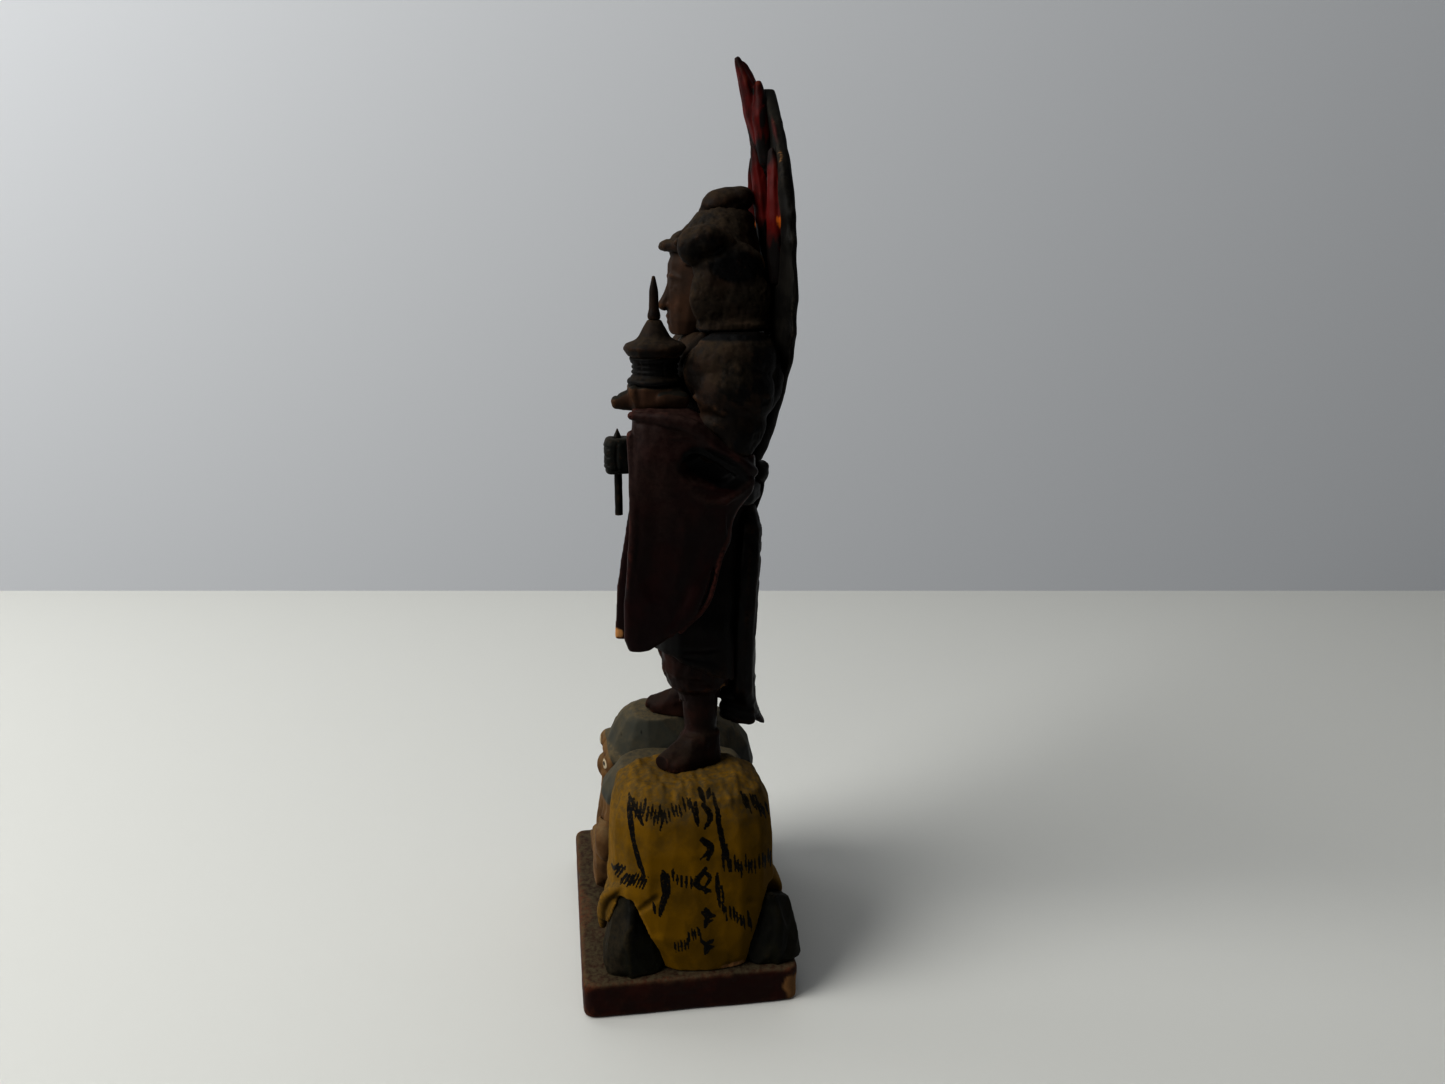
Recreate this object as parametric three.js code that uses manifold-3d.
// A small carved and painted wooden guardian figure on a crouching demon.
// Millimetres, +Z up. The figure looks along -Y and its left side is +X.
// The origin is the middle of the plinth's underside.
import * as THREE from 'three';
import { mergeVertices } from 'three/addons/utils/BufferGeometryUtils.js';
import Module from 'manifold-3d';

const wasm = await Module();
wasm.setup();

// ---- driving dimensions -------------------------------------------------------------------
const GAP = 0.3;                                     // air between two pieces that touch
const PLINTH = { length: 88, width: 60, height: 10.4, corner: 3, bevel: 0.6 };
const DECK = PLINTH.height + GAP;                    // where whatever stands on the plinth starts
const DOWEL = { radius: 2, length: 14, x: 24, y: 2 };
const RUMP_TOP = 61.4;                               // left sole
const DOME_TOP = 64.4;                               // right sole
const STANCE = 14.5;                                 // each ankle's distance from the centre plane
const TENON = { radius: 1.9, length: 8 };
const WAIST = 138.6;
const SHOULDER = 182.8;
const ARM_OUT = 19.5;                                // each shoulder's distance from the centre plane
const HALO = { foot: 147, top: 245.4, thickness: 3.6, pegHeight: 166, pegRadius: 1.6 };
const ROD = { x: -22, y: -13.7, radius: 1.2, low: 126.6, high: 153.2, point: 2.6 };
const PAGODA = { x: 16, y: -5.5, foot: 170, eaves: 178.4, roof: 187, tip: 197.8, radius: 8.3 };
const SIDES = 16;

// ---- geometry helpers ---------------------------------------------------------------------

// A point on a superellipse: power 2 is an ellipse, higher powers are squarer.
function squircle(angle, a, b, power) {
  const c = Math.cos(angle);
  const s = Math.sin(angle);
  const round = (v) => Math.sign(v) * Math.abs(v) ** (2 / power);
  return [a * round(c), b * round(s)];
}

// Closed skin through rings of points that all have the same count, first and last capped.
function skin(rings) {
  const sides = rings[0].length;
  const positions = rings.flat().flatMap((p) => p.toArray());
  const middle = (ring) => ring.reduce((sum, p) => sum.add(p), new THREE.Vector3()).divideScalar(sides);
  positions.push(...middle(rings[0]).toArray(), ...middle(rings.at(-1)).toArray());
  const first = rings.length * sides;
  const last = first + 1;
  const index = [];
  for (let i = 0; i < sides; i += 1) {
    const j = (i + 1) % sides;
    index.push(first, j, i);
    index.push(last, (rings.length - 1) * sides + i, (rings.length - 1) * sides + j);
    for (let r = 0; r < rings.length - 1; r += 1) {
      const low = r * sides;
      const high = low + sides;
      index.push(low + i, low + j, high + j, low + i, high + j, high + i);
    }
  }
  const geometry = new THREE.BufferGeometry();
  geometry.setAttribute('position', new THREE.Float32BufferAttribute(positions, 3));
  geometry.setIndex(index);
  return geometry;
}

// Level sections stacked upwards: { z, x, y, a, b } are a section's height, centre and half widths.
function stack(grow, sections, power = 2, turn = 0) {
  const rings = sections.map(({ z, x, y, a, b }, row) => {
    const end = row === 0 ? -grow : Number(row === sections.length - 1) * grow;
    return Array.from({ length: SIDES }, (_, i) => {
      const [u, v] = squircle((i / SIDES) * 2 * Math.PI, a + grow, b + grow, power);
      const c = Math.cos(turn);
      const s = Math.sin(turn);
      return new THREE.Vector3(x + u * c - v * s, y + u * s + v * c, z + end);
    });
  });
  return skin(rings);
}

// Round sections along a smooth path: each point is [x, y, z, radius]. flat thins a limb that lies
// in an upright plane facing the side.
function limb(grow, points, flat = 1, steps = 7, sides = 12) {
  const path = new THREE.CatmullRomCurve3(points.map(([x, y, z]) => new THREE.Vector3(x, y, z)));
  const radii = new THREE.CatmullRomCurve3(points.map((p, i) => new THREE.Vector3(i, p[3], 0)));
  const frames = path.computeFrenetFrames(steps);
  const rings = [];
  for (let k = 0; k <= steps; k += 1) {
    const centre = path.getPoint(k / steps);
    const radius = radii.getPoint(k / steps).y + grow;
    const end = k === 0 ? -grow : Number(k === steps) * grow;
    centre.addScaledVector(frames.tangents[k], end);
    rings.push(Array.from({ length: sides }, (_, i) => {
      const angle = (i / sides) * 2 * Math.PI;
      const p = centre.clone();
      p.addScaledVector(frames.normals[k], Math.cos(angle) * radius);
      return p.addScaledVector(frames.binormals[k], Math.sin(angle) * radius * flat);
    }));
  }
  return skin(rings);
}

// An egg: a sphere stretched to three half widths.
function egg(grow, [x, y, z], [a, b, c]) {
  const geometry = new THREE.SphereGeometry(1, 14, 8);
  geometry.rotateX(Math.PI / 2);
  geometry.scale(a + grow, b + grow, c + grow);
  return geometry.translate(x, y, z);
}

// An upright peg from one height to another.
function peg(grow, x, y, low, high, radius, sides = 14) {
  const height = high - low + 2 * grow;
  const geometry = new THREE.CylinderGeometry(radius + grow, radius + grow, height, sides);
  geometry.rotateX(Math.PI / 2);
  return geometry.translate(x, y, (low + high) / 2);
}

// A peg that lies along an axis turned from upright.
function crossPeg(grow, from, to, radius) {
  const a = new THREE.Vector3(...from);
  const b = new THREE.Vector3(...to);
  const length = a.distanceTo(b) + 2 * grow;
  const heading = b.clone().sub(a).normalize();
  const geometry = new THREE.CylinderGeometry(radius + grow, radius + grow, length, 14);
  geometry.applyQuaternion(new THREE.Quaternion().setFromUnitVectors(new THREE.Vector3(0, 1, 0), heading));
  return geometry.translate(...a.add(b).divideScalar(2).toArray());
}

// A turned shape about an upright axis: the profile is [radius, height] from the axis to the axis.
function turned(grow, x, y, profile) {
  const top = profile.length - 1;
  const points = profile.map(([r, z], i) => {
    const end = i <= 1 ? -grow : Number(i >= top - 1) * grow;
    return new THREE.Vector2(r === 0 ? 0 : r + grow, z + end);
  });
  const geometry = new THREE.LatheGeometry(points, 20);
  geometry.rotateX(Math.PI / 2);
  return geometry.translate(x, y, 0);
}

function box(low, high) {
  const size = high.map((v, i) => v - low[i]);
  const geometry = new THREE.BoxGeometry(...size);
  return geometry.translate(...low.map((v, i) => v + size[i] / 2));
}

function toSolid(geometry) {
  const bare = geometry.clone();
  bare.deleteAttribute('normal');
  bare.deleteAttribute('uv');
  const merged = mergeVertices(bare, 1e-4);
  return new wasm.Manifold(new wasm.Mesh({
    numProp: 3,
    vertProperties: new Float32Array(merged.attributes.position.array),
    triVerts: new Uint32Array(merged.index.array),
  }));
}

function joined(geometries) {
  return geometries.map(toSolid).reduce((whole, next) => whole.add(next));
}

function largest(solid) {
  return solid.decompose().sort((a, b) => b.volume() - a.volume())[0];
}

function toGeometry(solid) {
  const mesh = solid.getMesh();
  const geometry = new THREE.BufferGeometry();
  geometry.setAttribute('position', new THREE.Float32BufferAttribute(mesh.vertProperties, 3));
  geometry.setIndex(Array.from(mesh.triVerts));
  geometry.computeVertexNormals();
  return geometry;
}

// The same piece on the other side of the body.
const mirrored = (geometry) => {
  geometry.scale(-1, 1, 1);
  const index = geometry.index.array;
  for (let i = 0; i < index.length; i += 3) {
    [index[i], index[i + 1]] = [index[i + 1], index[i]];
  }
  return geometry;
};

// ---- materials ----------------------------------------------------------------------------
function paint(color, roughness) {
  return new THREE.MeshStandardMaterial({ color, roughness, metalness: 0 });
}
const PAINT = {
  plinth: paint(0x3c1d16, 0.7),
  rock: paint(0x23261c, 0.75),
  skin: paint(0x8a6a20, 0.75),
  demon: paint(0x6e5338, 0.75),
  hair: paint(0x4c4a42, 0.7),
  robe: paint(0x1d1512, 0.6),
  sleeve: paint(0x33120f, 0.5),
  boots: paint(0x35201a, 0.6),
  armour: paint(0x2e241f, 0.65),
  face: paint(0x4d3b2e, 0.65),
  halo: paint(0x2a2724, 0.65),
  flame: paint(0x8e2a20, 0.55),
  wood: paint(0xb98a55, 0.8),
};

// ---- the pieces ---------------------------------------------------------------------------
// make(grow) gives a piece's overlapping shapes; with grow they are that much fatter all round.
// clearOf lists the neighbours that the piece is cut back from, and cuts the plain cutters.
const pieces = [];
function piece(name, material, make, clearOf = [], cuts = () => []) {
  pieces.push({ name, material, make, clearOf, cuts });
}

// Plinth and the dowels that pin the demon to it
function plinthBlock() {
  const { length, width, height, corner, bevel } = PLINTH;
  const x = length / 2 - bevel;
  const y = width / 2 - bevel;
  const r = corner - bevel;
  const outline = new THREE.Shape();
  outline.moveTo(x - r, -y);
  outline.absarc(x - r, -y + r, r, -Math.PI / 2, 0);
  outline.absarc(x - r, y - r, r, 0, Math.PI / 2);
  outline.absarc(-x + r, y - r, r, Math.PI / 2, Math.PI);
  outline.absarc(-x + r, -y + r, r, Math.PI, 1.5 * Math.PI);
  outline.closePath();
  const edge = { bevelSize: bevel, bevelThickness: bevel, bevelSegments: 1 };
  const options = { depth: height - 2 * bevel, curveSegments: 5, ...edge };
  return new THREE.ExtrudeGeometry(outline, options).translate(0, 0, bevel);
}
piece('plinth', PAINT.plinth, () => [plinthBlock()], ['dowel_rump', 'dowel_head']);
for (const [name, x] of [['dowel_rump', DOWEL.x], ['dowel_head', -DOWEL.x]]) {
  const low = PLINTH.height - DOWEL.length / 2;
  piece(name, PAINT.wood, (grow) => [peg(grow, x, DOWEL.y, low, low + DOWEL.length, DOWEL.radius)]);
}

// Two wedge rocks at the demon's haunches: front at -Y, rear at +Y
function rock(grow, side) {
  const out = side < 0 ? 15.3 : 23.2;
  return [stack(grow, [
    { z: DECK, x: 32.4, y: side * out, a: 9.6, b: 9 },
    { z: DECK + 6, x: 32.8, y: side * out, a: 8.8, b: 8 },
    { z: DECK + 14, x: 34, y: side * (out + 0.8), a: 6.2, b: 5 },
    { z: DECK + 21, x: 35.4, y: side * (out + 1.6), a: 3.2, b: 2 },
  ], 3)];
}
piece('rock_front', PAINT.rock, (grow) => rock(grow, -1));
piece('rock_rear', PAINT.rock, (grow) => rock(grow, 1));

// Crouching demon: rump under the tiger skin towards +X, head towards -X
piece('demon_rump', PAINT.skin, (grow) => [
  stack(grow, [
    { z: DECK, x: 25, y: 5, a: 17, b: 15.5 },
    { z: 21, x: 25, y: 3, a: 17.4, b: 21 },
    { z: 34, x: 24.4, y: 1.4, a: 17, b: 24.2 },
    { z: 45, x: 23.4, y: 1.6, a: 16.4, b: 23.9 },
    { z: 53, x: 22, y: 1.6, a: 15.4, b: 23.2 },
    { z: 58.4, x: 21, y: 1.4, a: 13.6, b: 20.8 },
    { z: RUMP_TOP, x: 20, y: 1.2, a: 10.6, b: 15.4 },
  ], 3),
  egg(grow, [27, -16.6, 25], [11, 6.6, 11]),
  egg(grow, [27, 22.4, 24], [11, 5.6, 10.5]),
], ['rock_front', 'rock_rear', 'left_boot', 'dowel_rump']);
piece('demon_head', PAINT.hair, (grow) => [
  stack(grow, [
    { z: 22, x: -25, y: -3, a: 11, b: 14 },
    { z: 31, x: -25, y: -1, a: 16, b: 20.5 },
    { z: 42, x: -24.6, y: 3.2, a: 18.2, b: 25.6 },
    { z: 51, x: -24, y: 3.2, a: 17.8, b: 23.6 },
    { z: 57.4, x: -23, y: 1.8, a: 15.6, b: 19.8 },
    { z: 62, x: -21, y: -1, a: 12.4, b: 14.2 },
    { z: DOME_TOP, x: -18, y: -3, a: 8.6, b: 9.2 },
  ], 2.4),
  egg(grow, [-25, -15.4, 34], [11.5, 7.4, 11]),
], ['right_boot', 'dowel_head']);
piece('demon_torso', PAINT.demon, (grow) => [
  stack(grow, [
    { z: DECK, x: -12, y: 0, a: 24, b: 21 },
    { z: 18, x: -12, y: 0, a: 26.5, b: 23 },
    { z: 34, x: -6, y: 0.6, a: 22, b: 24 },
    { z: 47, x: -1, y: 1, a: 15, b: 23 },
    { z: 56, x: 2, y: 1.4, a: 10, b: 18 },
  ], 2.8),
], ['demon_rump', 'demon_head', 'dowel_head', 'rock_front', 'rock_rear']);
for (const [name, side] of [['demon_front_arm', -1], ['demon_rear_arm', 1]]) {
  piece(name, PAINT.demon, (grow) => [
    limb(grow, [[2, side * 18.6, 38, 4.6], [3, side * 20.4, 26, 5], [-3, side * 20.6, 17, 4.9],
      [-18, side * 21.6, 15.6, 4.4], [-30, side * 21, 15.6, 4.8]], 1, 9),
  ], ['demon_torso', 'demon_rump', 'demon_head', 'rock_front', 'rock_rear']);
}

// Legs: boots with tenons under the soles, and trousers gathered below the knee
function boot(grow, sole) {
  const turn = 0.4;
  return [
    stack(grow, [
      { z: sole, x: STANCE + 1.6, y: 3, a: 5, b: 8.8 },
      { z: sole + 2.4, x: STANCE + 1.4, y: 3.2, a: 5, b: 8.6 },
      { z: sole + 5, x: STANCE - 0.2, y: 5.4, a: 4.6, b: 6.2 },
      { z: sole + 8.6, x: STANCE - 1.6, y: 6.6, a: 4.4, b: 4.8 },
    ], 3.4, turn),
    stack(grow, [
      { z: sole + 6, x: STANCE - 1.4, y: 6.4, a: 4.3, b: 4.6 },
      { z: 72, x: STANCE - 2.6, y: 6.6, a: 4.2, b: 4.5 },
      { z: 78, x: STANCE - 3, y: 6.6, a: 4.8, b: 5.1 },
      { z: 84, x: STANCE - 3.4, y: 6.6, a: 4.4, b: 4.8 },
    ]),
    peg(grow, STANCE - 1, 6, sole - TENON.length, sole + 3, TENON.radius),
  ];
}
function trouser(grow) {
  return [stack(grow, [
    { z: 77.6, x: 11, y: 6.6, a: 5.8, b: 6.4 },
    { z: 79.6, x: 11, y: 6.6, a: 7.6, b: 8.4 },
    { z: 84, x: 10.8, y: 6.4, a: 8.4, b: 9.4 },
    { z: 89, x: 10.2, y: 6.2, a: 8.7, b: 10 },
    { z: 96, x: 9.6, y: 6, a: 8.9, b: 10.2 },
    { z: 103, x: 9.4, y: 6, a: 8, b: 9.6 },
  ], 2.2)];
}
piece('left_boot', PAINT.boots, (grow) => boot(grow, RUMP_TOP));
piece('right_boot', PAINT.boots, (grow) => boot(grow, DOME_TOP).map(mirrored));
piece('left_trouser', PAINT.sleeve, trouser, ['left_boot', 'robe_tail']);
piece('right_trouser', PAINT.sleeve, (grow) => trouser(grow).map(mirrored),
  ['right_boot', 'robe_tail', 'left_trouser']);

// Robe: skirt, long back panel that ends in a point, sash roll and its knot
piece('skirt', PAINT.robe, (grow) => [
  stack(grow, [
    { z: 92, x: 0, y: 6.4, a: 20, b: 13.4 },
    { z: 102, x: 0, y: 6.6, a: 19.6, b: 13.2 },
    { z: 116, x: 0, y: 7.6, a: 17.4, b: 13 },
    { z: 128, x: 0, y: 9.4, a: 15.2, b: 12 },
    { z: WAIST - 3.4, x: 0, y: 11, a: 13.6, b: 11.4 },
  ], 2.6),
], ['robe_tail', 'left_trouser', 'right_trouser']);
piece('robe_tail', PAINT.robe, (grow) => [
  stack(grow, [
    { z: 65.5, x: 0, y: 27.2, a: 1.6, b: 0.9 },
    { z: 69.6, x: 0, y: 23.8, a: 6, b: 2.8 },
    { z: 74.6, x: 0, y: 20.8, a: 11, b: 4 },
    { z: 82, x: 0, y: 19, a: 15.6, b: 4.8 },
    { z: 98, x: 0, y: 18.8, a: 17.4, b: 4.9 },
    { z: 116, x: 0, y: 20, a: 17, b: 4.9 },
    { z: 129, x: 0, y: 21.2, a: 14.4, b: 4.5 },
    { z: WAIST - 3.4, x: 0, y: 20.6, a: 10.6, b: 3.2 },
  ], 2.6),
]);
piece('sash', PAINT.armour, (grow) => [
  stack(grow, [
    { z: WAIST - 3, x: 0, y: 12.2, a: 14.6, b: 11.6 },
    { z: WAIST - 1.4, x: 0, y: 12.2, a: 16, b: 13 },
    { z: WAIST + 1.4, x: 0, y: 12.2, a: 16, b: 13 },
    { z: WAIST + 3, x: 0, y: 12.2, a: 14.6, b: 11.8 },
  ], 2.3),
]);
piece('sash_knot', PAINT.armour, (grow) => [
  egg(grow, [0, 24.4, 142.8], [5, 3.8, 3.6]),
], ['sash', 'torso', 'halo_board']);

// Trunk, head and helmet
piece('torso', PAINT.armour, (grow) => [
  stack(grow, [
    { z: WAIST + 3.3, x: 0, y: 11.4, a: 13.6, b: 10 },
    { z: 150, x: 0, y: 11.4, a: 14.8, b: 10.6 },
    { z: 162, x: 0, y: 12, a: 16.6, b: 11.6 },
    { z: 172, x: 0, y: 12.4, a: 17, b: 11.8 },
    { z: 179, x: 0, y: 12.4, a: 14.6, b: 10.6 },
    { z: SHOULDER, x: 0, y: 12.6, a: 9, b: 8 },
  ], 2.3),
], ['head', 'left_arm', 'right_arm', 'left_arm_dowel', 'right_arm_dowel', 'halo_board'],
() => [crossPeg(GAP, [0, 13, HALO.pegHeight], [0, 34, HALO.pegHeight], HALO.pegRadius)]);
piece('head', PAINT.face, (grow) => [
  peg(grow, 0, 11, 172, 186, 4),
  stack(grow, [
    { z: SHOULDER - 0.6, x: 0, y: 5.6, a: 4.6, b: 4.8 },
    { z: 186, x: 0, y: 7.4, a: 7.6, b: 7.6 },
    { z: 193, x: 0, y: 9, a: 9, b: 9.4 },
    { z: 201, x: 0, y: 10, a: 9.2, b: 10 },
    { z: 208, x: 0, y: 11, a: 7.6, b: 8.4 },
  ]),
]);
piece('helmet', PAINT.armour, (grow) => [
  stack(grow, [
    { z: 200.4, x: 0, y: 13, a: 12.6, b: 12.2 },
    { z: 206, x: 0, y: 13.2, a: 12.2, b: 11.6 },
    { z: 210, x: 0, y: 14, a: 10.2, b: 9.6 },
    { z: 213.6, x: 0, y: 14.8, a: 7.6, b: 7.4 },
    { z: 216, x: 0, y: 15, a: 4.6, b: 4.8 },
  ]),
  limb(grow, [[0, 6, 206, 7], [0, 1.6, 205.8, 5], [0, -2.6, 205.3, 1.4]], 0.4, 4),
  egg(grow, [12.4, 5.6, 205.2], [3.6, 4.4, 4.8]),
  egg(grow, [-12.4, 5.6, 205.2], [3.6, 4.4, 4.8]),
], ['head', 'neck_guard', 'helmet_crest']);
piece('helmet_crest', PAINT.armour, (grow) => [
  egg(grow, [0, 15.2, 216.2], [4.8, 6.2, 4.4]),
  egg(grow, [0, 19.6, 218], [3.8, 3.4, 3.3]),
]);
piece('neck_guard', PAINT.armour, (grow) => [
  stack(grow, [
    { z: SHOULDER + 0.7, x: 0, y: 15.2, a: 17, b: 11.9 },
    { z: 189, x: 0, y: 15, a: 15.4, b: 11.8 },
    { z: 196, x: 0, y: 14.2, a: 13.8, b: 11.6 },
    { z: 200.1, x: 0, y: 13.6, a: 12.9, b: 11.6 },
  ], 3.4),
], ['head', 'torso'], () => [box([-30, -10, 170], [30, 6.6, 215])]);

// Arms under their shoulder guards, with the drapery that hangs behind them to the halo; wide
// sleeves, hands
function arm(grow, side, points) {
  const at = points.map(([x, y, z, r]) => [side * x, y, z, r]);
  return [
    egg(grow, [side * ARM_OUT, 11.6, 173.6], [7.2, 10.2, 9.1]),
    egg(grow, [side * (ARM_OUT - 1.5), 20, 172], [5.6, 8.6, 12]),
    limb(grow, at, 1, 8),
  ];
}
const LEFT_ARM = [
  [20, 13, 173, 7.4], [23, 16, 162, 7], [23.6, 13, 154, 6], [21.6, 5, 157.4, 5.4], [18, -1.6, 161, 4.2],
];
const RIGHT_ARM = [
  [20, 13, 173, 7.4], [23, 15, 162, 6.8], [23.4, 11, 152.4, 5.6], [23, 2, 148.4, 4.6],
  [22.2, -8.6, 146.4, 3.6],
];
piece('left_arm', PAINT.armour, (grow) => arm(grow, 1, LEFT_ARM),
  ['left_arm_dowel', 'neck_guard', 'halo_board']);
piece('right_arm', PAINT.armour, (grow) => arm(grow, -1, RIGHT_ARM),
  ['right_arm_dowel', 'neck_guard', 'halo_board']);
for (const [name, side] of [['left_arm_dowel', 1], ['right_arm_dowel', -1]]) {
  piece(name, PAINT.wood, (grow) => [crossPeg(grow, [side * 9, 12, 173], [side * 21, 12, 173], 1.5)]);
}
piece('left_sleeve', PAINT.sleeve, (grow) => [
  stack(grow, [
    { z: 98.4, x: 22.6, y: -11.4, a: 1.4, b: 2.8 },
    { z: 102, x: 22.8, y: -9.3, a: 1.9, b: 6 },
    { z: 112.7, x: 23.2, y: -6, a: 2.2, b: 9.3 },
    { z: 129, x: 24, y: 0.6, a: 2.6, b: 14 },
    { z: 142.5, x: 24.8, y: 3.7, a: 4, b: 16.4 },
    { z: 152, x: 24.6, y: 3.8, a: 5.6, b: 16.2 },
    { z: 160, x: 22.8, y: 0, a: 5.6, b: 12.2 },
    { z: 164.4, x: 20.6, y: -4.6, a: 4, b: 7.4 },
  ], 2.6),
], ['left_arm', 'skirt', 'sash', 'torso', 'left_hand', 'robe_tail'],
() => [egg(0, [30.4, 8, 149.4], [4.6, 9.4, 5])]);
piece('right_sleeve', PAINT.sleeve, (grow) => [
  stack(grow, [
    { z: 87, x: -22, y: -13.2, a: 1.4, b: 2.6 },
    { z: 92, x: -22.2, y: -10, a: 1.8, b: 5.6 },
    { z: 104, x: -22.8, y: -6.8, a: 2.2, b: 8 },
    { z: 120, x: -23.4, y: -1.6, a: 2.4, b: 10.6 },
    { z: 134, x: -24, y: 3, a: 3, b: 12.6 },
    { z: 144, x: -24, y: 4.6, a: 4.4, b: 12.6 },
    { z: 152, x: -23.6, y: 5.4, a: 5, b: 10.4 },
  ], 2.6),
], ['right_arm', 'skirt', 'sash', 'torso', 'robe_tail']);
piece('left_hand', PAINT.face, (grow) => [
  stack(grow, [
    { z: 163, x: 16.6, y: -4.8, a: 4.6, b: 6.2 },
    { z: 165.4, x: 16.6, y: -5.2, a: 6.2, b: 7.6 },
    { z: PAGODA.foot - GAP, x: 16.2, y: -5.4, a: 6.4, b: 7.4 },
  ], 2.6),
  limb(grow, [[16.6, -8, 166, 2.9], [17, -12.6, 166, 2.5], [17.2, -16.8, 165.6, 1.5]]),
], ['left_arm', 'pagoda_peg']);
piece('right_fist', PAINT.face, (grow) => [
  stack(grow, [
    { z: 140, x: ROD.x, y: ROD.y + 0.2, a: 4, b: 3.6 },
    { z: 142, x: ROD.x, y: ROD.y + 0.2, a: 4.6, b: 4.2 },
    { z: 148.4, x: ROD.x, y: ROD.y + 0.2, a: 4.6, b: 4.2 },
    { z: 150.2, x: ROD.x, y: ROD.y + 0.2, a: 4, b: 3.6 },
  ], 3.6),
], ['right_arm', 'rod']);

// What the hands hold: a short rod through the fist, a pagoda pegged to the palm
piece('rod', PAINT.robe, (grow) => [turned(grow, ROD.x, ROD.y, [
  [0, ROD.low], [ROD.radius, ROD.low], [ROD.radius, ROD.high - ROD.point], [0.15, ROD.high], [0, ROD.high],
])]);
piece('pagoda_peg', PAINT.wood, (grow) => [peg(grow, PAGODA.x, PAGODA.y, 166.4, 173, 1)]);
piece('pagoda_body', PAINT.armour, (grow) => [turned(grow, PAGODA.x, PAGODA.y, [
  [0, PAGODA.foot], [6.6, PAGODA.foot], [6.2, 171.6], [6, 175],
  [6.8, PAGODA.eaves - 1.2], [0, PAGODA.eaves - 1.2],
])], ['pagoda_peg']);
piece('pagoda_roof', PAINT.armour, (grow) => [turned(grow, PAGODA.x, PAGODA.y, [
  [0, PAGODA.eaves - 0.9], [PAGODA.radius - 1.2, PAGODA.eaves - 0.9], [PAGODA.radius, PAGODA.eaves + 0.6],
  [PAGODA.radius - 0.8, PAGODA.eaves + 1.8], [4.6, 182.6], [2.4, 185.4],
  [1.7, PAGODA.roof - 0.3], [0, PAGODA.roof - 0.3],
])]);
piece('pagoda_spire', PAINT.armour, (grow) => [turned(grow, PAGODA.x, PAGODA.y, [
  [0, PAGODA.roof], [1.5, PAGODA.roof], [1.7, 190], [1.5, 194], [0.5, PAGODA.tip], [0, PAGODA.tip],
])]);

// Flame halo: a leaf-shaped board bent forwards at both ends, on one peg in the back
piece('halo_board', PAINT.halo, (grow) => {
  const back = (z) => 31 - 0.004 * Math.max(0, 183 - z) ** 2 - 0.0016 * Math.max(0, z - 205) ** 2;
  const rise = (z) => ((z - HALO.foot + 6) / (HALO.top - HALO.foot + 8)) ** 1.15;
  const half = (z) => 25.6 * Math.sin(Math.PI * rise(z)) ** 0.8;
  const levels = Array.from({ length: 12 }, (_, i) => HALO.foot + (i / 11) * (HALO.top - HALO.foot));
  return [stack(grow, levels.map((z) => (
    { z, x: 0, y: back(z) - HALO.thickness / 2, a: half(z), b: HALO.thickness / 2 }
  )), 4)];
}, ['halo_peg', 'flame_crown', 'flame_middle', 'flame_left', 'flame_right']);
piece('flame_crown', PAINT.flame, (grow) => [
  limb(grow, [[0, 27.4, 224, 5], [0, 25, 235, 5], [0, 21.4, 246, 3.6], [0, 18.8, 253.4, 1]], 0.55),
], ['flame_middle']);
piece('flame_middle', PAINT.flame, (grow) => [
  limb(grow, [[0, 28, 202, 2.6], [0, 26.6, 214, 4], [0, 25, 225, 3.2], [0, 23.2, 233, 0.8]], 0.7),
]);
for (const [name, side] of [['flame_left', 1], ['flame_right', -1]]) {
  piece(name, PAINT.flame, (grow) => [
    limb(grow, [[side * 14, 28, 196, 2.4], [side * 16, 27.6, 208, 3.4], [side * 15.6, 27, 220, 2.8],
      [side * 13.4, 25.4, 230, 0.6]], 0.8),
  ]);
}
piece('halo_peg', PAINT.wood, (grow) => [
  crossPeg(grow, [0, 15, HALO.pegHeight], [0, 28, HALO.pegHeight], HALO.pegRadius),
]);

// ---- assembly -----------------------------------------------------------------------------
const byName = new Map(pieces.map((entry) => [entry.name, entry]));
const figure = new THREE.Group();
for (const { name, material, make, clearOf, cuts } of pieces) {
  let solid = joined(make(0));
  for (const neighbour of clearOf) {
    solid = solid.subtract(joined(byName.get(neighbour).make(GAP)));
  }
  for (const cutter of cuts()) {
    solid = solid.subtract(toSolid(cutter));
  }
  const mesh = new THREE.Mesh(toGeometry(largest(solid)), material);
  mesh.name = name;
  figure.add(mesh);
}

export default figure;
